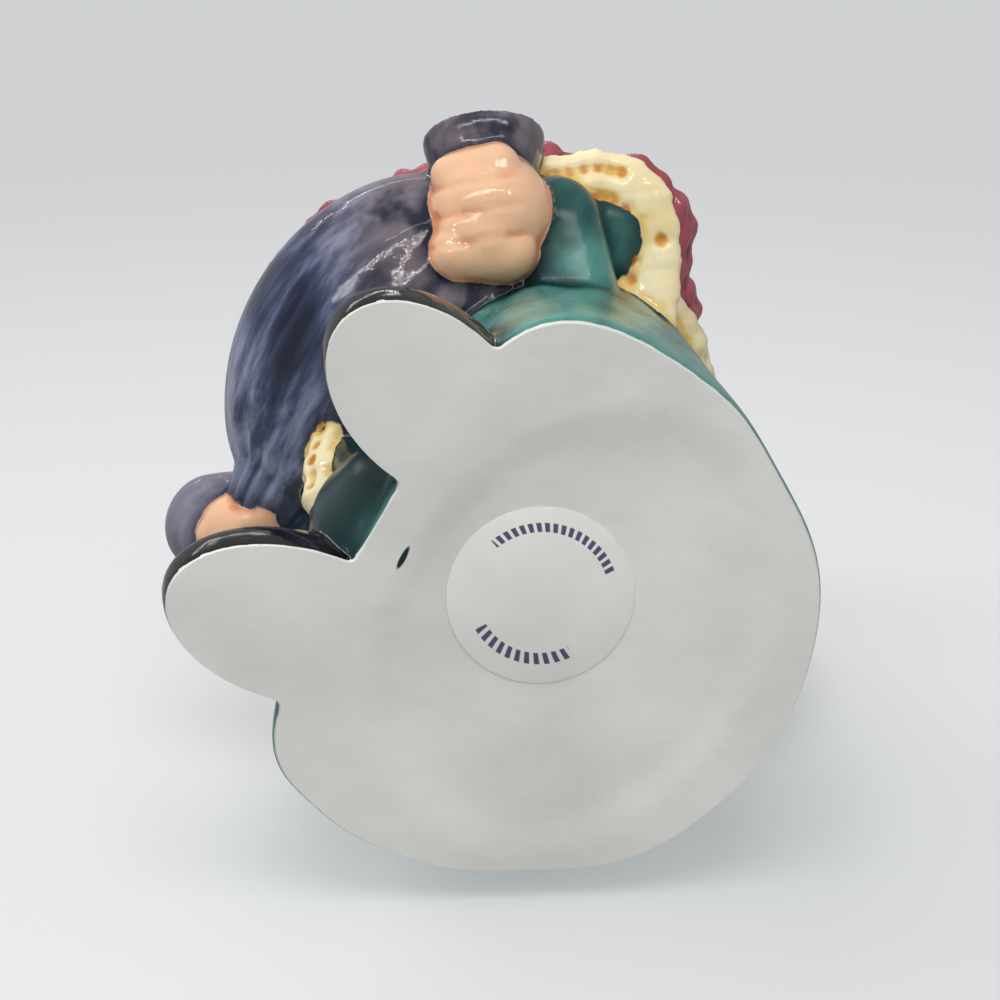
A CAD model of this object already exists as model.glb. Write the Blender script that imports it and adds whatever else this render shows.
# %% [markdown]
# # A glazed toby jug, shown from below
# The solids of the jug are loaded as a fixed frame. The figure is then modelled again with finer relief: simple
# primitives for robe, shoes, sack, hands, lace, head and hat are fused into one cast body, hollowed, and painted.
# All shaping is in millimetres round the figure's upright axis and goes to the frame's metres at the end.

# %% Load the frame
import math
import random

import bpy
import numpy as np
from mathutils import Matrix, Vector
from mathutils.bvhtree import BVHTree


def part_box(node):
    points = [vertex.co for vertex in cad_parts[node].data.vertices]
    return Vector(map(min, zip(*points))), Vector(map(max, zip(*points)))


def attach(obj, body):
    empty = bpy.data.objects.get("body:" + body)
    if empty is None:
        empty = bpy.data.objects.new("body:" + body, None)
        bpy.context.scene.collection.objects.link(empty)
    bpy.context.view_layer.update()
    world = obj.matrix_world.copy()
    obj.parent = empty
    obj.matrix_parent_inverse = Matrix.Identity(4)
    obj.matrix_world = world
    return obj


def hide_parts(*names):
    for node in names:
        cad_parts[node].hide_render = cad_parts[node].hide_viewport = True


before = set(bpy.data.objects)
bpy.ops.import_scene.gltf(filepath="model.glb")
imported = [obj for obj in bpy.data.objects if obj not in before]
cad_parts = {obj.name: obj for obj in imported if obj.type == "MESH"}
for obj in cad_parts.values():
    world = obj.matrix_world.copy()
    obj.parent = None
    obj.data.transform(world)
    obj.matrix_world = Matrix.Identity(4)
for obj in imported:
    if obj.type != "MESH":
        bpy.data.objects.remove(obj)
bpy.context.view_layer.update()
MM = 0.001
LABEL_PLACE = Vector((3.3, -2.8))  # the label's middle from the figure's axis, in millimetres
label_low, label_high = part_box("base_label")
label_middle = (Vector(label_low) + Vector(label_high)) / 2
axis_xy = label_middle.to_2d() - LABEL_PLACE * MM
TO_FRAME = Matrix.Translation(axis_xy.to_3d()) @ Matrix.Scale(MM, 4)
random.seed(7)

# %% [markdown]
# ## Small helpers
# Every primitive is added with an operator, sized and placed, and kept in the list of the region it is painted as.

# %% Helpers
regions = {name: [] for name in ("robe", "shoe", "sack", "skin", "lace", "hat", "hair")}


def V(x, y, z):
    return Vector((x, y, z))


def smooth(low, high, value):
    t = np.clip((value - low) / (high - low), 0, 1)
    return t * t * (3 - 2 * t)


def keep(region, obj):
    bpy.ops.object.transform_apply(location=True, rotation=True, scale=True)
    regions[region].append(obj)


def egg(region, centre, half_sizes, turn=(0, 0, 0), detail=40):
    bpy.ops.object.select_all(action="DESELECT")
    bpy.ops.mesh.primitive_uv_sphere_add(
        segments=detail, ring_count=detail // 2, radius=1, location=centre, rotation=[math.radians(t) for t in turn]
    )
    obj = bpy.context.object
    obj.scale = half_sizes
    keep(region, obj)


def limb(region, start, end, start_radius, end_radius, detail=24):
    """A tapering limb with round ends: a cone between two balls."""
    along = end - start
    bpy.ops.object.select_all(action="DESELECT")
    bpy.ops.mesh.primitive_cone_add(
        vertices=detail,
        radius1=start_radius,
        radius2=end_radius,
        depth=along.length,
        location=(start + end) / 2,
        rotation=along.to_track_quat("Z", "Y").to_euler(),
    )
    keep(region, bpy.context.object)
    for place, radius in ((start, start_radius), (end, end_radius)):
        egg(region, place, (radius,) * 3, detail=detail)


def mesh_object(region, name, points, faces):
    mesh = bpy.data.meshes.new(name)
    mesh.from_pydata(points, [], faces)
    obj = bpy.data.objects.new(name, mesh)
    bpy.context.collection.objects.link(obj)
    if region:
        regions[region].append(obj)
    return obj


def spun(region, name, profile, shape, around=128):
    """A profile of (radius, height) rows spun about Z; shape(radius, angle, height) gives each point."""
    points, faces = [], []
    for radius, height in profile:
        for step in range(around):
            points.append(shape(radius, math.tau * step / around, height))
    for row in range(len(profile) - 1):
        for step in range(around):
            following = (step + 1) % around
            a, b = row * around, (row + 1) * around
            faces.append((a + step, a + following, b + following, b + step))
    faces.append(tuple(reversed(range(around))))
    last = (len(profile) - 1) * around
    faces.append(tuple(range(last, last + around)))
    return mesh_object(region, name, points, faces)


def between(points, k, t):
    """The place at share t of the way from point k to the next, on a smooth curve through all points."""
    before, start = points[max(k - 1, 0)], points[k]
    end, after = points[k + 1], points[min(k + 2, len(points) - 1)]
    return 0.5 * (
        2 * start
        + (end - before) * t
        + (2 * before - 5 * start + 4 * end - after) * t * t
        + (3 * start - before - 3 * end + after) * t * t * t
    )


def finer(profile, steps):
    """More rows along a profile, on a smooth line through its points."""
    knots = [Vector((p[0], p[1], 0)) for p in profile]
    rows = []
    for i in range(len(knots) - 1):
        for step in range(steps):
            point = between(knots, i, step / steps)
            rows.append((point.x, point.y))
    rows.append((knots[-1].x, knots[-1].y))
    return rows


def smooth_line(points, count):
    """Evenly numbered points on a smooth curve through a few given ones."""
    rows = []
    for i in range(count):
        place = i / (count - 1) * (len(points) - 1)
        k = min(int(place), len(points) - 2)
        rows.append(between(points, k, place - k))
    return rows


# %% [markdown]
# ## The robe and the shoes
# The hem follows a squarish oval in front and a round one behind, with hanging folds that die out up the body.

# %% Robe
HALF_WIDTH, HALF_DEPTH, HEM_MIDDLE = 46.5, 36.0, 5.0
SHOULDER, WAIST = 88.0, 62.0
HEM_SQUARE, WAIST_SQUARE = 4.5, 2.2  # power of the front's oval at the hem and from the waist up
FOLDS = (  # angle in degrees, depth as a share of the reach, spread in degrees
    (20, 0.095, 22), (161, 0.09, 21), (90, -0.035, 26), (207, 0.02, 8),
)


def robe_reach(angle, height, inset=0.0):
    """From the axis to the robe, or to a line inset from it: squarer in front near the hem, an oval behind."""
    side = abs(math.cos(angle)) / (HALF_WIDTH - inset)
    depth = abs(math.sin(angle)) / (HALF_DEPTH - inset)
    square = HEM_SQUARE + (WAIST_SQUARE - HEM_SQUARE) * float(smooth(0, WAIST, height))
    power = square if math.sin(angle) < 0 else 2.0
    return 1 / (side**power + depth**power) ** (1 / power)


def fold_depth(angle, height):
    total = 0
    for place, depth, spread in FOLDS:
        turn = (math.degrees(angle) - place + 180) % 360 - 180
        total += depth * math.exp(-((turn / spread) ** 2))
    return total * (1 - float(smooth(10, 80, height)))


def robe_shape(folded, inset=0.0):
    def shape(share, angle, height):
        reach = share * robe_reach(angle, height, inset)
        if folded:
            reach *= 1 - fold_depth(angle, height)
        lean = HEM_MIDDLE * (1 - float(smooth(0, SHOULDER, height)))
        return (reach * math.cos(angle), reach * math.sin(angle) + lean, height)

    return shape


robe_profile = [(0.955, -3), (0.985, 0), (1.0, 2.2), (0.985, 12), (0.95, 26), (0.91, 42), (0.87, 58), (0.83, 74)]
robe_profile += [(0.75, SHOULDER), (0.56, 96), (0.4, 103)]
spun("robe", "robe", finer(robe_profile, 4), robe_shape(True), 160)
CAPE_HEM, CAPE_REACH = 73.0, 0.86
cape_profile = [(0.8, CAPE_HEM), (CAPE_REACH, CAPE_HEM + 1.5), (0.84, 82), (0.765, 90), (0.57, 97), (0.41, 104)]
spun("robe", "cape", finer(cape_profile, 4), robe_shape(False), 128)

# Between the shoes: a rounded fall of cloth with folds that run up to the lap
egg("robe", V(-4, -29, 17), (12.5, 8, 16), detail=48)
limb("robe", V(-12, -33, 48), V(-8, -31, 20), 3, 3.6)
limb("robe", V(-4, -33, 48), V(1, -31, 20), 3, 3.6)

# The shoes: broad toes turned out, upright sides and a higher instep under the robe
SHOES = (  # middle, half width, half length, turn in degrees
    (Vector((22.3, -33.0)), 12.8, 18.8, 17),
    (Vector((-18.7, -33.0)), 12.9, 21.2, -12),
)
shoe_profile = [(0.9, -3), (0.97, 0), (1, 3), (1, 7), (0.88, 11), (0.6, 14), (0.3, 15.3), (0.02, 15.6)]
for middle, half_width, half_length, splay in SHOES:

    def shoe_shape(share, angle, height):
        across, along = half_width * share * math.cos(angle), half_length * share * math.sin(angle)
        turn = math.radians(splay)
        return (
            middle.x + across * math.cos(turn) - along * math.sin(turn),
            middle.y + across * math.sin(turn) + along * math.cos(turn),
            height,
        )

    spun("shoe", "shoe", finer(shoe_profile, 3), shoe_shape, 72)
    egg("shoe", V(middle.x * 0.95, middle.y + 7, 6), (11, 12, 13), (0, 0, 0), 40)

# %% [markdown]
# ## Arms and hands
# Wide sleeves hang from the shoulders and the forearms come out of them. Each fist is a soft egg with four fingers
# side by side across its outer face.

# %% Arms and hands
ELBOW = V(33.5, -9.5, 50)
WRIST = {1: V(43.5, -19, 57), -1: V(-36, -25, 54)}
SACK_NECK, LEFT_FIST, RIGHT_FIST = V(41, -29.3, 55.5), V(41.7, -30, 52.5), V(-26.5, -38.7, 51)
for side in (-1, 1):
    limb("robe", V(side * ELBOW.x, ELBOW.y, ELBOW.z), WRIST[side], 8.8, 8.8, 40)
    egg("robe", V(side * 40, -7, 75), (9.5, 13.5, 16.5), (0, -side * 36, 0), 48)
    egg("robe", V(side * 44, -10, 62.5), (9, 10, 5.5), detail=40)


def fist(centre, along_fingers, stacked, outward, size):
    egg("skin", centre, (size, size, size * 0.93), detail=40)
    for finger in range(4):
        step = finger - 1.5
        middle = centre + stacked * step * size * 0.46 + outward * size * (0.56 - 0.12 * abs(step))
        knuckle = middle + along_fingers * size * 0.25
        tip = middle - along_fingers * size * 0.52 - outward * size * 0.22
        limb("skin", knuckle, tip, size * 0.36, size * 0.33, 20)


DOWN_OUT = V(0.26, -0.23, -0.94).normalized()
FISTS = (
    (LEFT_FIST, V(0.62, 0.76, 0.02).normalized(), V(0.74, -0.58, 0.34).normalized(), 10.3),
    (RIGHT_FIST, V(0.55, -0.75, 0.1).normalized(), V(-0.78, -0.55, 0.3).normalized(), 7.6),
)
for centre, along_fingers, stacked, size in FISTS:
    fist(centre, along_fingers, stacked, DOWN_OUT, size)
limb("skin", WRIST[1], LEFT_FIST, 7, 8)
limb("skin", LEFT_FIST + V(-3, -1.5, -3), V(34.5, -32.5, 46), 7, 4.8)
limb("skin", V(34.5, -32.5, 46), V(38.6, -25.5, 47), 4.8, 5.2)
egg("skin", V(38.5, -29.5, 47), (6.5, 6.5, 5.5))
limb("skin", WRIST[-1], RIGHT_FIST, 6.5, 6.8)

# %% [markdown]
# ## The sack
# A full bag lies across the lap. Its neck is gathered in the left fist and flares beyond it; the far corner is
# pinched in the right fist, with a round end past the hand.

# %% Sack
MOUTH_AXIS = V(0.66, -0.42, 0.62).normalized()
egg("sack", V(10, -30, 60), (34, 26.5, 22), detail=64)
limb("sack", V(20, -30.5, 62), V(34, -29.5, 61.5), 17.5, 9.5, 40)
limb("sack", V(-4, -33, 57), RIGHT_FIST, 17, 5, 40)
egg("sack", V(-29.5, -42, 60), (9.4, 8.6, 9), (0, 0, 25), 32)
for tip_x, tip_z in ((-11, 60), (-14.5, 58), (-17.5, 55)):
    limb("sack", V(tip_x + 4, -37, tip_z - 4), V(tip_x, -44.4, tip_z - 1), 4.5, 1.2, 16)
turn_mouth = MOUTH_AXIS.to_track_quat("Z", "Y").to_matrix()


def mouth_shape(radius, angle, height):
    pleat = 1 + 0.02 * math.sin(9 * angle) * float(smooth(18, 10, height))
    local = Vector((radius * pleat * math.cos(angle), radius * pleat * math.sin(angle), height - 9))
    return tuple(SACK_NECK + turn_mouth @ local)


mouth_profile = [(6.5, 6), (7.2, 9), (8.4, 15), (9.8, 20), (10.2, 22.4), (9.7, 23.4), (8.6, 23), (7.6, 19)]
spun("sack", "sack_mouth", finer(mouth_profile, 3), mouth_shape, 72)

# %% [markdown]
# ## Lace
# Rows of soft lobes follow each sleeve's outer side, the cape's hem and the collar. Eyelets are sunk into it later.

# %% Lace
eyelets = []
LOBE_HALF_LENGTH = 3.6
SLEEVE_LACE = (
    (48, -21, 63), (53, -14.5, 63.5), (54, -8.5, 63), (50.5, -4, 62), (45, -0.5, 60), (39, 2, 57), (34, 2.5, 54),
)
RIGHT_LACE_INSET = 4  # the right sleeve's lace doesn't show past the robe in the photograph


def lace(points, count, half_width, half_thickness, wave, face_out=None, holes=lambda share: 1.0):
    line = smooth_line(points, count)
    for i, place in enumerate(line):
        along = line[min(i + 1, count - 1)] - line[max(i - 1, 0)]
        outward = face_out(place) if face_out else V(place.x, place.y, 0).normalized()
        across = along.cross(outward).normalized()
        outward = across.cross(along).normalized()
        swell = 1 + wave * math.sin(i * 2.1)
        bpy.ops.object.select_all(action="DESELECT")
        bpy.ops.mesh.primitive_uv_sphere_add(segments=20, ring_count=10, radius=1)
        lobe = bpy.context.object
        lobe.data.transform(
            Matrix.Translation(place)
            @ Matrix((along.normalized(), across, outward)).transposed().to_4x4()
            @ Matrix.Diagonal((LOBE_HALF_LENGTH, half_width * swell, half_thickness * swell, 1))
        )
        regions["lace"].append(lobe)
        for side_share in (0.5, -0.4):
            if random.random() < holes(i / (count - 1)):
                eyelets.append(place + across * half_width * side_share + outward * half_thickness * 0.9)


for side in (-1, 1):
    inset = RIGHT_LACE_INSET if side < 0 else 0
    lace(
        [V(side * px + inset, py, pz) for px, py, pz in SLEEVE_LACE],
        26,
        5.8,
        2.4,
        0.05,
        lambda place: V(math.copysign(0.3, place.x), -0.25, -0.92).normalized(),
        lambda share: 0.9 if share < 0.25 else 0.22,
    )
cape_path = []
for turn in range(-10, 191, 20):
    angle = math.radians(turn)
    reach = CAPE_REACH * robe_reach(angle, CAPE_HEM)
    cape_path.append(V(reach * math.cos(angle), reach * math.sin(angle), CAPE_HEM + 3))
lace(cape_path, 40, 5, 3.4, 0.1, holes=lambda share: 0.4)
COLLAR = 21
collar_path = []
for turn in range(0, 361, 30):
    angle = math.radians(turn)
    collar_path.append(V(COLLAR * math.cos(angle), COLLAR * math.sin(angle) - 2, 93 + 2.5 * math.sin(angle)))
lace(collar_path, 34, 5, 3.8, 0.1, holes=lambda share: 0.4)
lace([V(7, -33, 50), V(-1, -36.5, 42), V(-8, -35, 32)], 10, 3.8, 2.8, 0.16, lambda place: V(-0.2, -0.9, -0.4))

# %% [markdown]
# ## Head, hair and hat
# The head is a plain calm one. The hat's brim turns up to three low corners and is open on top as the jug's mouth.

# %% Head, hair and hat
HEAD = V(0, -6.5, 110)
FACE_Y = HEAD.y - 21.5
egg("skin", HEAD, (22, 21.5, 23), detail=64)
egg("skin", HEAD + V(0, -2, -12), (14.5, 16.5, 11), detail=40)
egg("skin", V(0, FACE_Y - 0.6, HEAD.z - 2.5), (3.1, 3.9, 3.0), detail=24)
limb("skin", V(0, FACE_Y + 0.8, HEAD.z + 5), V(0, FACE_Y - 0.4, HEAD.z - 1), 1.7, 2.4, 20)
egg("skin", V(0, FACE_Y + 3.6, HEAD.z - 15.5), (5.6, 4.2, 4.4), detail=24)
egg("skin", V(0, FACE_Y + 1.7, HEAD.z - 9.0), (5.2, 2.2, 1.3), detail=24)
egg("skin", V(0, FACE_Y + 1.9, HEAD.z - 11.2), (4.4, 2.4, 1.4), detail=24)
for side in (-1, 1):
    egg("skin", V(side * 8.8, FACE_Y + 4.2, HEAD.z - 4.5), (5.2, 3.6, 4.6), (0, 0, side * 20), 24)
    egg("skin", V(side * 7.2, FACE_Y + 2.9, HEAD.z + 6.8), (5, 2.3, 1.4), (0, side * 8, side * 16), 24)
    egg("skin", V(side * 7, FACE_Y + 3.3, HEAD.z + 2.2), (3.1, 2.2, 2.0), (0, 0, side * 16), 24)
    egg("skin", V(side * 2.4, FACE_Y + 0.9, HEAD.z - 3.2), (1.6, 2.0, 1.6), detail=16)
egg("hair", V(0, 0, HEAD.z - 2), (22.5, 21, 16), detail=48)
for turn, reach in ((-22, 22), (12, 22.5), (46, 21.5), (80, 20)):
    for side in (-1, 1):
        x = side * reach * math.cos(math.radians(turn))
        y = reach * math.sin(math.radians(turn))
        limb("hair", V(x * 0.94, y, HEAD.z + 8), V(x * 1.06, y, HEAD.z - 13), 5.4, 6.4)
        for ring in range(4):
            place = V(x * (0.98 + 0.03 * ring), y * 1.04, HEAD.z + 4 - 5 * ring)
            egg("hair", place, (6.3, 6.3, 2.9), (side * 8, 6, 0), 20)
HAT_MIDDLE, HAT_EDGE, HAT_TOP = 0.0, 133.0, 144.0
# Direction in degrees of the corners and of the hollows beside them, and how far the brim is drawn out there
HAT_CORNERS = ((14, 0.17), (166, 0.17), (270, 0.05), (50, -0.05), (130, -0.05), (305, -0.075), (235, -0.08))
HAT_LIFT, CURLS, CORNER_SPREAD, DIP_SPREAD = 7.0, 18, 15, 32


def hat_shape(curled):
    def shape(radius, angle, height):
        pull, low = 0.0, 0.0
        for corner, reach in HAT_CORNERS:
            turn = (math.degrees(angle) - corner + 180) % 360 - 180
            pull += reach * math.exp(-((turn / CORNER_SPREAD) ** 2))
            low += math.exp(-((turn / DIP_SPREAD) ** 2)) if reach > 0 else 0.0
        spread = 1 + float(smooth(120, HAT_EDGE, height)) * pull
        if curled:
            spread += 0.022 * float(smooth(HAT_EDGE - 4, HAT_EDGE, height)) * math.sin(CURLS * angle)
        rise = HAT_LIFT * max(0.0, (height - HAT_EDGE) / 12) * (0.6 - low)
        return (radius * spread * math.cos(angle), radius * spread * math.sin(angle) + HAT_MIDDLE, height + rise)

    return shape


hat_profile = [(24, 113), (28, 119), (36, 126), (42, 130), (43.6, HAT_EDGE), (43, 137), (41.8, 141.5), (40, HAT_TOP)]
spun("hat", "hat", finer(hat_profile, 4), hat_shape(True), 200)

# %% [markdown]
# ## Handle
# A plain strap handle, broad across and thin, from the cape to the lower back.

# %% Handle
handle_path = [V(0, 28, 90), V(0, 43, 92.5), V(0, 54.5, 88), V(0, 57.5, 76), V(0, 54.5, 60), V(0, 47, 45)]
handle_path += [V(0, 39, 36), V(0, 32, 33)]
STATIONS, ROUND = 60, 28
HANDLE_HALF_WIDTH, HANDLE_HALF_THICKNESS = 6, 4.2
stations = smooth_line(handle_path, STATIONS)
points, faces = [], []
for i, place in enumerate(stations):
    along = (stations[min(i + 1, STATIONS - 1)] - stations[max(i - 1, 0)]).normalized()
    out = V(1, 0, 0).cross(along).normalized()
    for step in range(ROUND):
        angle = math.tau * step / ROUND
        sideways = V(1, 0, 0) * HANDLE_HALF_WIDTH * math.cos(angle)
        points.append(place + sideways + out * HANDLE_HALF_THICKNESS * math.sin(angle))
for i in range(STATIONS - 1):
    for step in range(ROUND):
        following = (step + 1) % ROUND
        a, b = i * ROUND, (i + 1) * ROUND
        faces.append((a + step, a + following, b + following, b + step))
faces.append(tuple(reversed(range(ROUND))))
faces.append(tuple(range((STATIONS - 1) * ROUND, STATIONS * ROUND)))
mesh_object("robe", "handle", [tuple(p) for p in points], faces)

# %% [markdown]
# ## Fuse the cast body
# Each region is joined into one object and kept as a measure for the paint. Copies of all of them are remeshed into
# a single skin, which softens the joins as a mould and a coat of glaze do.

# %% Fuse
VOXEL = 0.62
region_objects = {}
for name, members in regions.items():
    bpy.ops.object.select_all(action="DESELECT")
    for obj in members:
        obj.select_set(True)
    bpy.context.view_layer.objects.active = members[0]
    bpy.ops.object.join()
    region_objects[name] = bpy.context.object
bpy.ops.object.select_all(action="DESELECT")
for obj in region_objects.values():
    obj.select_set(True)
bpy.context.view_layer.objects.active = region_objects["robe"]
bpy.ops.object.duplicate()
bpy.ops.object.join()
jug = bpy.context.object
jug.name = "jug_glazed"


def finish_with(obj, kind, **settings):
    modifier = obj.modifiers.new(kind.lower(), kind)
    for key, value in settings.items():
        setattr(modifier, key, value)
    bpy.ops.object.select_all(action="DESELECT")
    obj.select_set(True)
    bpy.context.view_layer.objects.active = obj
    bpy.ops.object.modifier_apply(modifier=modifier.name)


finish_with(jug, "REMESH", mode="VOXEL", voxel_size=VOXEL)
finish_with(jug, "SMOOTH", factor=0.5, iterations=6)
print("fused skin", len(jug.data.vertices), "points")

# %% [markdown]
# ## Fine relief
# The nearest region of every point is measured, and the skin is pushed along its normals: eyelets and puckers in the
# lace, gathers in the sack, curls on the hat's brim and soft folds in the robe.

# %% Relief


def distances(mesh_points, name):
    obj = region_objects[name]
    tree = BVHTree.FromPolygons([v.co for v in obj.data.vertices], [p.vertices for p in obj.data.polygons])
    return np.array([tree.find_nearest(Vector(p))[3] for p in mesh_points], dtype=np.float32)


def read_points(obj):
    flat = np.empty(len(obj.data.vertices) * 3, dtype=np.float32)
    obj.data.vertices.foreach_get("co", flat)
    return flat.reshape(-1, 3)


def read_normals(obj):
    flat = np.empty(len(obj.data.vertices) * 3, dtype=np.float32)
    obj.data.vertex_normals.foreach_get("vector", flat)
    return flat.reshape(-1, 3)


def paint_masks(mesh_points):
    reach = {name: distances(mesh_points, name) for name in regions}
    masks = {}
    for name in regions:
        others = np.min([reach[other] for other in regions if other != name], axis=0)
        masks[name] = others - reach[name]
    return masks, np.min(list(reach.values()), axis=0)


skin_points = read_points(jug)
normals = read_normals(jug)
masks, _ = paint_masks(skin_points)
push = np.zeros(len(skin_points), dtype=np.float32)
x, y, z = skin_points.T
for hole in eyelets:
    gap = np.linalg.norm(skin_points - np.array(hole, dtype=np.float32), axis=1)
    push -= 0.9 * np.exp(-((gap / 1.2) ** 2)) * (masks["lace"] > -0.3)
lace_wave = np.sin(x * 1.9 + z * 0.7) * np.sin(y * 1.7 - z * 0.9)
push += 0.1 * lace_wave * (masks["lace"] > 0)
hat_turn = np.arctan2(y - HAT_MIDDLE, x)
curl = np.sin(hat_turn * 36 + z * 0.9) * np.sin(z * 0.85 - hat_turn * 18)
push += 0.7 * curl * (masks["hat"] > 0.2) * smooth(HAT_EDGE - 6, HAT_EDGE - 1, z)
past_neck = (skin_points - np.array(SACK_NECK, dtype=np.float32)) @ np.array(MOUTH_AXIS, dtype=np.float32)
gather_left = np.linalg.norm(skin_points - np.array(LEFT_FIST, dtype=np.float32), axis=1)
gather_right = np.linalg.norm(skin_points - np.array(RIGHT_FIST, dtype=np.float32), axis=1)
for gather, centre in ((gather_left, LEFT_FIST), (gather_right, RIGHT_FIST)):
    turn = np.arctan2(z - centre.z, y - centre.y)
    push += 0.25 * np.sin(turn * 11) * smooth(30, 16, gather) * (masks["sack"] > 0.2) * (past_neck < 2)
for centre, along_fingers, stacked, size in FISTS:
    local = skin_points - np.array(centre, dtype=np.float32)
    rows = local @ np.array(stacked, dtype=np.float32) / (size * 0.46)
    facing = normals @ np.array(DOWN_OUT, dtype=np.float32)
    near = (np.linalg.norm(local, axis=1) < size * 1.5) & (masks["skin"] > 0.1)
    along = local @ np.array(along_fingers, dtype=np.float32) / size
    line = np.minimum(rows % 1.0, 1 - rows % 1.0)
    groove = np.exp(-((line / 0.13) ** 2)) * (np.abs(rows) < 1.6)
    groove *= smooth(0.75, 0.3, along) * smooth(-0.1, 0.4, facing)
    push -= 0.3 * groove * near
drape = np.sin(np.arctan2(y - HEM_MIDDLE, x) * 26 + np.sin(z * 0.11) * 2)
push += 0.22 * drape * (masks["robe"] > 0.3) * smooth(80, 50, z) * smooth(4, 14, z)
hair_line = np.sin(z * 2.2 + np.sin(np.arctan2(y, x) * 9) * 1.5)
push += 0.22 * hair_line * (masks["hair"] > 0.2)
skin_points = skin_points + normals * push[:, None]
jug.data.vertices.foreach_set("co", skin_points.astype(np.float32).ravel())
jug.data.update()
finish_with(jug, "SMOOTH", factor=0.5, iterations=1)

# %% [markdown]
# ## Hollow and foot
# The table plane cuts the body flat, a shallow hollow leaves a ring to stand on, and the inside is taken out.

# %% Hollow and foot
WALL, RECESS, RIM, BORE = 4.2, 0.7, 5.5, 16
TRIANGLES_KEPT = 165000


def triangle_count(obj):
    return sum(len(p.vertices) - 2 for p in obj.data.polygons)


def cut_with(obj, tool):
    finish_with(obj, "BOOLEAN", operation="DIFFERENCE", object=tool, solver="MANIFOLD")
    bpy.data.objects.remove(tool, do_unlink=True)


print("fused skin", triangle_count(jug), "triangles")
finish_with(jug, "DECIMATE", ratio=min(1.0, TRIANGLES_KEPT / triangle_count(jug)))
TABLE_RADIUS, TABLE_ROWS = 90, 64


def table_shape(share, angle, height):
    return (TABLE_RADIUS * share * math.cos(angle), TABLE_RADIUS * share * math.sin(angle), height)


table_profile = [(1, -30), (1, 0)] + [(1 - step / TABLE_ROWS, 0) for step in range(1, TABLE_ROWS)]
cut_with(jug, spun(None, "table", table_profile, table_shape, 128))


def foot_shape(share, angle, height):
    return (
        share * (HALF_WIDTH - RIM) * math.cos(angle),
        share * (HALF_DEPTH - RIM) * math.sin(angle) + HEM_MIDDLE,
        height,
    )


SLOPE, SLOPE_STEPS, FLAT_STEP, FLAT_STEPS = 0.22, 10, 0.06, 12  # shares of the reach: the rise, then the flat
foot_profile = [(1.02, -1), (1.0, 0)]
for step in range(1, SLOPE_STEPS + 1):
    share = step / SLOPE_STEPS
    foot_profile.append((1 - SLOPE * share, RECESS * math.sin(math.pi / 2 * share) ** 2))
foot_profile += [(1 - SLOPE - FLAT_STEP * step, RECESS) for step in range(1, FLAT_STEPS + 1)]
cut_with(jug, spun(None, "foot", foot_profile, foot_shape, 128))

floor_z = RECESS + WALL
hollow_profile = [(0.86, floor_z), (0.93, floor_z + 4), (0.92, 26), (0.88, 42), (0.84, 58), (0.8, 72), (0.62, 84)]
hollow_profile += [(0.36, 92)]
bore_profile = [(BORE, 82), (BORE, 116), (21, 124), (32, 131), (35.5, 137), (36.3, HAT_TOP), (36.8, HAT_TOP + 8)]
cut_with(jug, spun(None, "hollow", finer(hollow_profile, 3), robe_shape(True, WALL), 96))
cut_with(jug, spun(None, "bore", finer(bore_profile, 3), hat_shape(False), 96))
print("body", triangle_count(jug), "triangles")

# %% [markdown]
# ## Paint masks
# Each mask is how much nearer its own region is than any other, so its zero line is the painter's edge. One more
# value tells hollows from ridges, where a glaze pools dark or thins out.

# %% Masks
skin_points = read_points(jug)
masks, own_reach = paint_masks(skin_points)
x, y, z = skin_points.T
edges = np.empty(len(jug.data.edges) * 2, dtype=np.int32)
jug.data.edges.foreach_get("vertices", edges)
edges = edges.reshape(-1, 2)


def averaged(values, rounds):
    count = np.bincount(edges.ravel(), minlength=len(values)).astype(np.float32)[:, None]
    for _ in range(rounds):
        total = np.zeros_like(values)
        np.add.at(total, edges[:, 0], values[edges[:, 1]])
        np.add.at(total, edges[:, 1], values[edges[:, 0]])
        values = 0.5 * values + 0.5 * total / np.maximum(count, 1)
    return values


normals = read_normals(jug)
sunk = np.einsum("ij,ij->i", averaged(skin_points, 14) - skin_points, normals)
sunk = averaged(sunk[:, None].astype(np.float32), 2)[:, 0]
# Left unpainted: the underside, the inside, and the last half millimetre above the table
underside = (normals[:, 2] < -0.6) & (z < 1.2)
masks["bare"] = np.where(underside, 2.0, np.maximum(0.5 - z, own_reach - 2.2))
masks["sunk"] = sunk
EYELET_RADIUS = 1.25
hole_gap = np.full(len(skin_points), 9.0, dtype=np.float32)
for hole in eyelets:
    hole_gap = np.minimum(hole_gap, np.linalg.norm(skin_points - np.array(hole, dtype=np.float32), axis=1))
masks["eyelet"] = EYELET_RADIUS - hole_gap
for name, values in masks.items():
    layer = jug.data.attributes.new(f"paint_{name}", "FLOAT", "POINT")
    layer.data.foreach_set("value", np.ascontiguousarray(values, dtype=np.float32))
jug.data.transform(TO_FRAME)
for obj in region_objects.values():
    bpy.data.objects.remove(obj, do_unlink=True)
bpy.ops.object.select_all(action="DESELECT")
jug.select_set(True)
bpy.context.view_layer.objects.active = jug
bpy.ops.object.shade_smooth_by_angle(angle=math.radians(50))
print("sunk from", float(sunk.min()), "to", float(sunk.max()))

# %% [markdown]
# ## Shader arithmetic
# A small class wraps a node socket, so that colours and masks read as plain sums.

# %% Shader class


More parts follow.
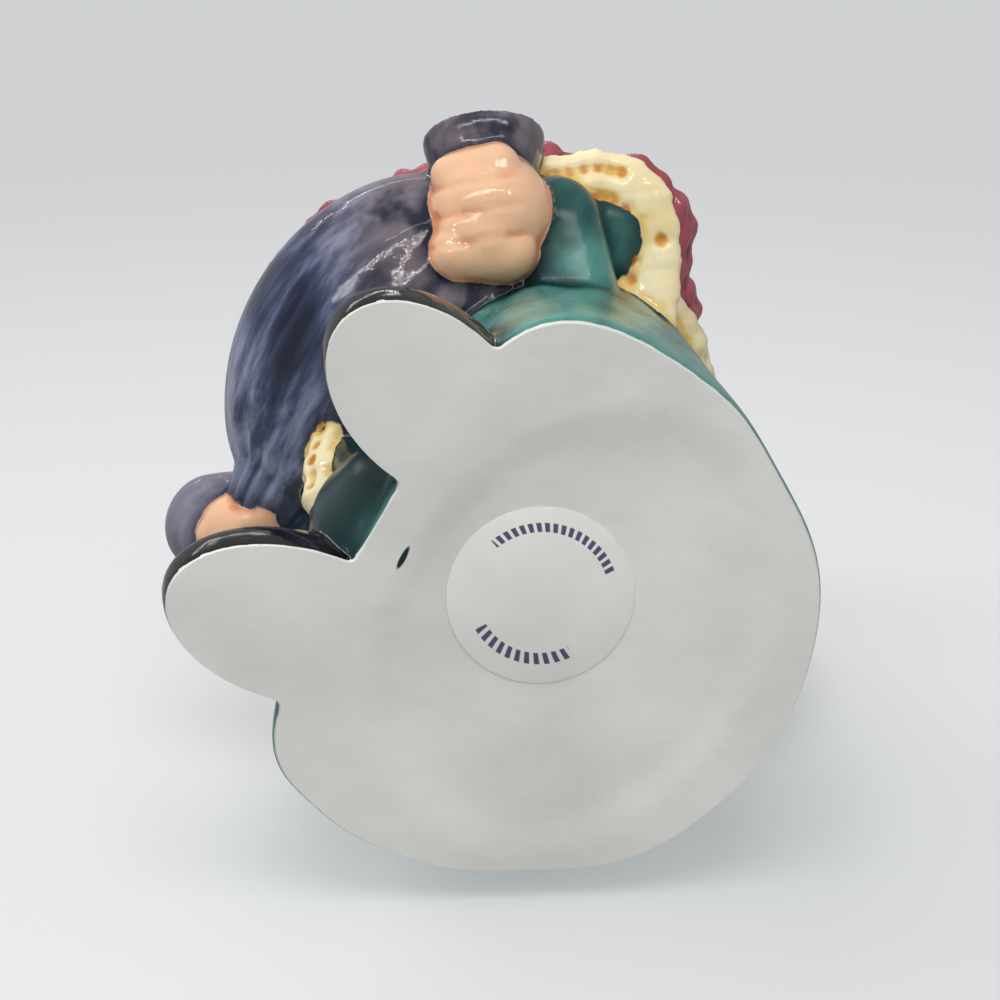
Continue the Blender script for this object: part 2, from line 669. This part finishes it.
class S:
    tree = None

    def __init__(self, socket):
        self.socket = socket

    @classmethod
    def node(cls, kind, inputs=None, output=0, **settings):
        made = cls.tree.nodes.new(kind)
        for key, value in settings.items():
            setattr(made, key, value)
        for key, value in (inputs or {}).items():
            if isinstance(value, S):
                cls.tree.links.new(value.socket, made.inputs[key])
            else:
                made.inputs[key].default_value = value
        return cls(made.outputs[output])

    @classmethod
    def maths(cls, operation, a, b=0.0, c=0.0):
        return cls.node("ShaderNodeMath", {0: a, 1: b, 2: c}, operation=operation)

    def __add__(self, other):
        return S.maths("ADD", self, other)

    __radd__ = __add__

    def __sub__(self, other):
        return S.maths("SUBTRACT", self, other)

    def __rsub__(self, other):
        return S.maths("SUBTRACT", other, self)

    def __mul__(self, other):
        return S.maths("MULTIPLY", self, other)

    __rmul__ = __mul__

    def step(self, low, high):
        return S.node(
            "ShaderNodeMapRange",
            {"Value": self, "From Min": low, "From Max": high, "To Min": 0.0, "To Max": 1.0},
            interpolation_type="SMOOTHSTEP",
        )


def srgb(red, green, blue):
    def linear(value):
        value /= 255
        return value / 12.92 if value <= 0.04045 else ((value + 0.055) / 1.055) ** 2.4

    return (linear(red), linear(green), linear(blue), 1.0)


def blend(share, first, second):
    return S.node("ShaderNodeMix", {0: share, 6: first, 7: second}, output=2, data_type="RGBA", clamp_factor=True)


def attribute(name):
    return S.node("ShaderNodeAttribute", output=2, attribute_name=f"paint_{name}")


def noise(vector, scale, detail=3.0, rough=0.55):
    return S.node("ShaderNodeTexNoise", {"Vector": vector, "Scale": scale, "Detail": detail, "Roughness": rough})


def stretched(vector, turn, sizes):
    return S.node(
        "ShaderNodeMapping", {"Vector": vector, "Rotation": [math.radians(t) for t in turn], "Scale": sizes}
    )


# %% [markdown]
# ## The painted glaze
# Colours are laid region by region over a white body, thin and pale on ridges and pooled dark in hollows, under one
# clear gloss coat. Figure coordinates in millimetres place the small painted details.

# %% Painted glaze
WHITE, WHITE_SHADE = srgb(222, 222, 216), srgb(202, 202, 196)
TEAL_LIGHT, TEAL, TEAL_DARK = srgb(78, 138, 128), srgb(18, 86, 82), srgb(2, 36, 38)
NAVY, SLATE, LAVENDER, BROWN_GREY = srgb(24, 29, 47), srgb(72, 80, 110), srgb(150, 155, 178), srgb(116, 101, 103)
BALL_GREY = srgb(134, 130, 142)
PEACH, PEACH_DEEP = srgb(229, 183, 147), srgb(196, 122, 82)
CREAM, OCHRE, RUST = srgb(238, 225, 182), srgb(219, 182, 92), srgb(196, 114, 34)
MAROON_LIGHT, MAROON, MAROON_DARK = srgb(160, 78, 88), srgb(112, 34, 46), srgb(50, 8, 18)
BLACK, BLACK_SHEEN = srgb(11, 10, 10), srgb(24, 23, 22)
HAIR_LIGHT, HAIR_DARK = srgb(176, 164, 148), srgb(92, 80, 70)
EYE_WHITE, IRIS, PUPIL = srgb(232, 228, 218), srgb(82, 92, 98), srgb(18, 16, 18)
LIP, BLUSH = srgb(188, 92, 84), srgb(214, 128, 104)


def new_tree(name):
    material = bpy.data.materials.new(name)
    material.use_nodes = True
    S.tree = material.node_tree
    S.tree.nodes.clear()
    return material


def surface(shader):
    output = S.tree.nodes.new("ShaderNodeOutputMaterial")
    S.tree.links.new(shader.socket, output.inputs["Surface"])


def figure_place(place):
    offset = S.node("ShaderNodeVectorMath", {0: place, 1: axis_xy.to_3d()}, operation="SUBTRACT")
    return S.node("ShaderNodeVectorMath", {0: offset, 3: 1000.0}, operation="SCALE")


def split(vector):
    made = S.tree.nodes.new("ShaderNodeSeparateXYZ")
    S.tree.links.new(vector.socket, made.inputs[0])
    return [S(socket) for socket in made.outputs]


def spot(parts, centre, sizes):
    """How deep a point is inside an ellipsoid: 1 in its middle, 0 at its surface."""
    total = None
    for value, middle, size in zip(parts, centre, sizes):
        scaled = (value - middle) * (1 / size)
        squared = scaled * scaled
        total = squared if total is None else total + squared
    return 1.0 - total


def paint_glaze():
    material = new_tree("painted_glaze")
    place = S.node("ShaderNodeTexCoord", output="Object")
    mm = figure_place(place)
    fx, fy, fz = split(mm)
    sunk = attribute("sunk")
    pooled = sunk.step(-0.12, 0.16)
    deep = sunk.step(0.05, 0.32)
    cloud = noise(place, 90.0, 3.0)
    grain = noise(place, 420.0, 4.0)
    wobble = (noise(place, 260.0, 2.0) - 0.5) * 0.7

    body = blend(noise(place, 24.0, 2.0).step(0.3, 0.75), WHITE, WHITE_SHADE)

    brush = noise(stretched(place, (0, 25, 15), (1.0, 1.0, 0.3)), 240.0, 4.0)
    robe = blend(pooled * 0.6 + (brush - 0.45) * 1.4 + (cloud - 0.45) * 1.3, TEAL_LIGHT, TEAL)
    robe = blend(deep * 0.85 + (cloud - 0.62) * 1.2, robe, TEAL_DARK)
    robe = blend(attribute("robe").step(5.0, 0.2) * 0.85 + (cloud - 0.5) * 0.6, robe, TEAL_DARK)
    lap = spot((fx, fy, fz), (-5.0, -36.0, 24.0), (24.0, 14.0, 32.0)).step(0.0, 0.6)
    robe = blend(lap * 0.95, robe, TEAL_DARK)

    lengthwise = stretched(place, (0, 0, 20), (0.09, 1.0, 1.0))
    streak = noise(lengthwise, 420.0, 5.0, 0.6)
    patch = noise(stretched(place, (0, 0, 20), (0.5, 1.0, 1.0)), 60.0, 3.0)
    wash = patch * 0.62 + streak * 0.38
    sack = blend(wash.step(0.37, 0.58), NAVY, SLATE)
    sack = blend(wash.step(0.47, 0.65) * 0.8, sack, LAVENDER)
    to_end = S.node("ShaderNodeVectorMath", {0: mm, 1: (-29.5, -43.5, 60.0)}, "Value", operation="DISTANCE")
    sack = blend(to_end.step(15.0, 10.0) * (0.3 + streak * 0.6), sack, BALL_GREY)
    to_fist = S.node("ShaderNodeVectorMath", {0: mm, 1: tuple(LEFT_FIST)}, "Value", operation="DISTANCE")
    near_fist = to_fist.step(32.0, 15.0)
    sack = blend(near_fist * (0.25 + streak * 0.9), sack, BROWN_GREY)
    sack = blend(deep * 0.8 + near_fist * cloud.step(0.46, 0.62) * 0.95, sack, NAVY)
    sack = blend(attribute("sack").step(3.0, 0.1) * 0.7, sack, NAVY)

    skin = blend(pooled * 0.8 + (cloud - 0.55) * 0.5, PEACH, PEACH_DEEP)
    skin = blend(deep * 0.6 + attribute("skin").step(1.4, 0.0) * 0.3, skin, PEACH_DEEP)
    for side in (-1, 1):
        cheek = spot((fx, fy, fz), (side * 9, FACE_Y, HEAD.z - 5), (7, 9, 6)).step(0.0, 1.0)
        skin = blend(cheek * 0.75, skin, BLUSH)
    lips = spot((fx, fy, fz), (0, FACE_Y, HEAD.z - 10.1), (5.2, 6, 2.2)).step(0.0, 0.25)
    skin = blend(lips * 0.85, skin, LIP)
    for side in (-1, 1):
        eye = (side * 7.2, FACE_Y + 1.5, HEAD.z + 2.3)
        skin = blend(spot((fx, fy, fz), eye, (3.1, 8, 1.75)).step(0.0, 0.2), skin, PUPIL)
        white = (eye[0], eye[1], eye[2] - 0.15)
        skin = blend(spot((fx, fy, fz), white, (2.8, 8, 1.35)).step(0.0, 0.2), skin, EYE_WHITE)
        skin = blend(spot((fx, fy, fz), eye, (1.25, 8, 1.35)).step(0.0, 0.2), skin, IRIS)
        skin = blend(spot((fx, fy, fz), eye, (0.6, 8, 0.65)).step(0.0, 0.2), skin, PUPIL)
        brow = (side * 7.4, FACE_Y + 1.5, HEAD.z + 7.4)
        skin = blend(spot((fx, fy, fz), brow, (4.6, 8, 1.0)).step(0.0, 0.4) * 0.85, skin, HAIR_DARK)

    lace = blend(pooled * 0.75 + (cloud - 0.48) * 1.8, CREAM, OCHRE)
    lace = blend(deep * 0.55 + (grain - 0.66) * 2.0, lace, OCHRE)
    lace = blend((attribute("eyelet") + wobble * 0.5).step(-0.15, 0.55), lace, RUST)

    hat = blend(pooled + (brush - 0.5) * 0.6, MAROON_LIGHT, MAROON)
    hat = blend(deep + (cloud - 0.6) * 0.8, hat, MAROON_DARK)

    shoe = blend(cloud.step(0.4, 0.8) * 0.6, BLACK, BLACK_SHEEN)
    hair = blend(pooled + (brush - 0.5) * 0.5, HAIR_LIGHT, HAIR_DARK)

    colour = body
    layers = {"robe": robe, "hair": hair, "hat": hat, "skin": skin, "sack": sack, "lace": lace, "shoe": shoe}
    for name, paint in layers.items():
        colour = blend((attribute(name) + wobble * 0.4).step(-0.16, 0.16), colour, paint)
    bare = (attribute("bare") + wobble).step(-0.12, 0.12)
    colour = blend(bare, colour, body)

    fleck_start, fleck_end = FLECK
    fleck_middle = (fleck_start + fleck_end) / 2
    run = (fleck_end - fleck_start).normalized()
    along = (fx - fleck_middle.x) * run.x + (fy - fleck_middle.y) * run.y
    across = (fx - fleck_middle.x) * -run.y + (fy - fleck_middle.y) * run.x
    fleck = spot((along, across, fz), (0, 0, 0), ((fleck_end - fleck_start).length / 2 + 0.4, 0.55, 2.0))
    colour = blend((fleck + wobble).step(0.0, 0.5), colour, TEAL_DARK)

    ripple = noise(place, 130.0, 2.0)
    bump = S.node("ShaderNodeBump", {"Strength": 0.4, "Distance": 0.0007, "Height": ripple + grain * 0.12})
    rough = cloud * 0.1 + attribute("robe").step(0.0, 0.5) * 0.16 + 0.05
    shader = S.node(
        "ShaderNodeBsdfPrincipled",
        {"Base Color": colour, "Roughness": rough, "Normal": bump, "IOR": 1.48},
    )
    surface(shader)
    return material


FLECK = (Vector((-3.2, -24.4)), Vector((1.0, -24.6)))
jug.data.materials.clear()
jug.data.materials.append(paint_glaze())
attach(jug, "root")
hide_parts("toby_jug")

# %% [markdown]
# ## The label
# A thin round paper label. Its print is only rows of short strokes along two arcs.

# %% Label
LABEL_RADIUS, LABEL_THICK = 14.5, 0.2
STROKE_ARCS = (  # facing and half spread in degrees, radius, half height, strokes in a full turn, inked share
    (-13, 56, 11.2, 0.75, 56, 0.6),
    (168, 44, 10.4, 0.95, 44, 0.55),
)
bpy.ops.object.select_all(action="DESELECT")
bpy.ops.mesh.primitive_cylinder_add(
    vertices=96,
    radius=LABEL_RADIUS,
    depth=LABEL_THICK,
    location=(LABEL_PLACE.x, LABEL_PLACE.y, RECESS - LABEL_THICK / 2),
)
label = bpy.context.object
label.name = "round_label"
bpy.ops.object.transform_apply(location=True, rotation=True, scale=True)
finish_with(label, "BEVEL", width=0.06, segments=2, limit_method="ANGLE")
label.data.transform(TO_FRAME)
bpy.ops.object.shade_smooth_by_angle(angle=math.radians(30))


def label_paper():
    material = new_tree("label_paper")
    place = S.node("ShaderNodeTexCoord", output="Object")
    fx, fy, _ = split(figure_place(place))
    dx, dy = fx - LABEL_PLACE.x, fy - LABEL_PLACE.y
    radius = S.maths("SQRT", dx * dx + dy * dy)
    ink = None
    for facing, spread, reach, half, strokes, fill in STROKE_ARCS:
        turn = math.radians(facing)
        forward = dx * math.cos(turn) + dy * math.sin(turn)
        sideways = dy * math.cos(turn) - dx * math.sin(turn)
        angle = S.maths("ARCTAN2", sideways, forward)
        within = S.maths("ABSOLUTE", angle).step(math.radians(spread + 1), math.radians(spread))
        row = S.maths("ABSOLUTE", radius - reach).step(half + 0.08, half - 0.08)
        comb = S.maths("FRACT", angle * (strokes / math.tau) + radius * 0.12 + 50.0)
        gaps = S.maths("ABSOLUTE", comb - 0.5).step(fill / 2 + 0.06, fill / 2 - 0.06)
        stroke = within * row * gaps
        ink = stroke if ink is None else S.maths("MAXIMUM", ink, stroke)
    colour = blend(noise(place, 60.0).step(0.3, 0.7), srgb(226, 226, 220), srgb(218, 218, 212))
    colour = blend(ink * 0.92, colour, srgb(34, 30, 88))
    bump = S.node("ShaderNodeBump", {"Strength": 0.1, "Distance": 0.0002, "Height": noise(place, 220.0)})
    rough = noise(place, 300.0) * 0.1 + 0.3
    surface(S.node("ShaderNodeBsdfPrincipled", {"Base Color": colour, "Roughness": rough, "Normal": bump}))
    return material


label.data.materials.clear()
label.data.materials.append(label_paper())
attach(label, "root")
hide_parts("base_label")
print("label at", tuple(round(v, 4) for v in label_middle))

# %% [markdown]
# ## Stage
# A pale floor under the standing jug, and a pale sheet beside it that stands for the surface it lies on in the
# photograph. Both are seen from one side only and fade out, so that no view is shut off.

# %% Stage
SIDE = V(0.866, -0.5, 0)  # from the surface the jug lies on, towards the light


def pale(name, tone, fade_from, fade_to, centre):
    material = new_tree(name)
    place = S.node("ShaderNodeTexCoord", output="Object")
    away = S.node("ShaderNodeVectorMath", {0: place, 1: tuple(centre)}, "Value", operation="DISTANCE")
    front = 1.0 - S.node("ShaderNodeNewGeometry", output="Backfacing")
    share = front * away.step(fade_to, fade_from)
    tint = noise(place, 3.0).step(0.0, 1.0)
    colour = blend(tint * 0.15, tone, tuple(0.94 * c for c in tone[:3]) + (1.0,))
    diffuse = S.node("ShaderNodeBsdfDiffuse", {"Color": colour})
    glow = S.node("ShaderNodeEmission", {"Color": colour, "Strength": 0.86})
    diffuse = S.node("ShaderNodeMixShader", {0: 0.55, 1: diffuse, 2: glow})
    clear = S.node("ShaderNodeBsdfTransparent")
    surface(S.node("ShaderNodeMixShader", {0: share, 1: clear, 2: diffuse}))
    return material


def sheet(name, centre, normal, size, tone, fade_from, fade_to):
    bpy.ops.object.select_all(action="DESELECT")
    bpy.ops.mesh.primitive_plane_add(
        size=size, location=centre, rotation=normal.to_track_quat("Z", "Y").to_euler()
    )
    obj = bpy.context.object
    obj.name = name
    bpy.ops.object.transform_apply(location=True, rotation=True, scale=True)
    obj.data.materials.append(pale(name, tone, fade_from, fade_to, centre))
    obj.visible_shadow = False
    obj.visible_diffuse = False
    obj.visible_glossy = False
    obj.visible_transmission = False
    return obj


axis = axis_xy.to_3d()
FLOOR_TONE = srgb(226, 227, 228)
sheet("floor", axis + V(0, 0, -0.0003), V(0, 0, 1), 4.0, FLOOR_TONE, 0.35, 1.6)
LIE_DISTANCE = 0.0475
lie_centre = axis - SIDE * LIE_DISTANCE + V(0, 0, 0.02)
sheet("lying_side", lie_centre, SIDE, 2.0, FLOOR_TONE, 0.08, 0.5)

world = bpy.data.worlds.new("pale_room")
bpy.context.scene.world = world
world.use_nodes = True
S.tree = world.node_tree
S.tree.nodes.clear()
seen = S.node("ShaderNodeBackground", {"Color": srgb(222, 224, 226), "Strength": 0.86})
felt = S.node("ShaderNodeBackground", {"Color": srgb(222, 224, 226), "Strength": 0.5})
background = S.node("ShaderNodeMixShader", {0: S.node("ShaderNodeLightPath"), 1: felt, 2: seen})
world_output = S.tree.nodes.new("ShaderNodeOutputWorld")
S.tree.links.new(background.socket, world_output.inputs["Surface"])


def area_light(name, direction, distance, size, power, tone=(1, 1, 1)):
    data = bpy.data.lights.new(name, "AREA")
    data.shape = "RECTANGLE"
    data.size, data.size_y = size
    data.energy = power
    data.color = tone
    obj = bpy.data.objects.new(name, data)
    bpy.context.collection.objects.link(obj)
    direction = direction.normalized()
    obj.location = axis + V(0, 0, 0.06) + direction * distance
    obj.rotation_euler = (-direction).to_track_quat("-Z", "Y").to_euler()
    return obj


for name, direction, distance, size, power in (
    ("side_soft", SIDE + V(0.05, -0.1, -0.5), 1.0, (0.6, 0.6), 6.0),
    ("under_soft", V(0.28, -0.25, -0.9), 1.3, (0.9, 0.9), 4.5),
    ("top_soft", V(0.2, -0.4, 1.0), 1.3, (0.8, 0.8), 12.0),
    ("front_soft", V(0.2, -1.0, 0.4), 1.3, (0.7, 0.7), 6.0),
    ("back_soft", V(-0.7, 0.8, 0.5), 1.4, (0.7, 0.7), 8.0),
):
    area_light(name, direction, distance, size, power).visible_glossy = False

# Strips of small lamps, seen only as lines of bright dots in the gloss
LAMPS, LAMP_RADIUS, LAMP_GAP, ROW_GAP = 25, 0.0045, 0.024, 0.02
STRIP_RUN = V(0.57, 0.82, 0)


def lamp_strips(name, direction, distance, strength):
    direction = direction.normalized()
    across = direction.cross(STRIP_RUN).normalized()
    run = across.cross(direction)
    middle = axis + V(0, 0, 0.06) + direction * distance
    points, faces = [], []
    for lamp in range(LAMPS * 2):
        place = middle + run * (lamp // 2 - (LAMPS - 1) / 2) * LAMP_GAP + across * (lamp % 2 - 0.5) * ROW_GAP
        ring = len(points)
        for corner in range(8):
            angle = math.tau * corner / 8
            points.append(tuple(place + LAMP_RADIUS * (run * math.cos(angle) + across * math.sin(angle))))
        faces.append(tuple(range(ring, ring + 8)))
    obj = mesh_object(None, name, points, faces)
    material = new_tree(name)
    surface(S.node("ShaderNodeEmission", {"Color": (1, 0.98, 0.95, 1), "Strength": strength}))
    obj.data.materials.append(material)
    obj.visible_camera = False
    obj.visible_diffuse = False
    obj.visible_shadow = False


lamp_strips("lamps_under", V(0.65, -0.49, -0.59), 0.35, 60.0)
lamp_strips("lamps_side", SIDE + V(0.1, -0.1, -0.3), 0.8, 45.0)
lamp_strips("lamps_top", V(0.35, -0.5, 1.0), 0.9, 30.0)

# %% [markdown]
# ## Camera
# The photograph looks at the underside: its camera was fitted to the mirror symmetry of the base's outline.

# %% Camera
CAMERA_PLACE = V(133.22, -119.32, -424.29)  # from the figure's axis, in millimetres
LOOK = V(-0.26342, 0.22778, 0.93740)
RIGHT = V(0.49878, 0.86392, -0.06976)
UPWARD = V(0.82573, -0.44918, 0.34119)
FOCAL_PIXELS, PHOTO_SIDE, SENSOR = 3000.0, 1000.0, 36.0
camera_data = bpy.data.cameras.new("photo_camera")
camera = bpy.data.objects.new("photo_camera", camera_data)
bpy.context.collection.objects.link(camera)
columns = Matrix((RIGHT, UPWARD, -LOOK)).transposed().to_4x4()
camera.matrix_world = Matrix.Translation(TO_FRAME @ CAMERA_PLACE) @ columns
camera_data.sensor_width = SENSOR
camera_data.lens = FOCAL_PIXELS / PHOTO_SIDE * SENSOR
camera_data.clip_start, camera_data.clip_end = 0.01, 20.0
bpy.context.scene.camera = camera
bpy.context.scene.view_settings.view_transform = "Standard"

# %% Sizes and finish
bpy.context.view_layer.update()
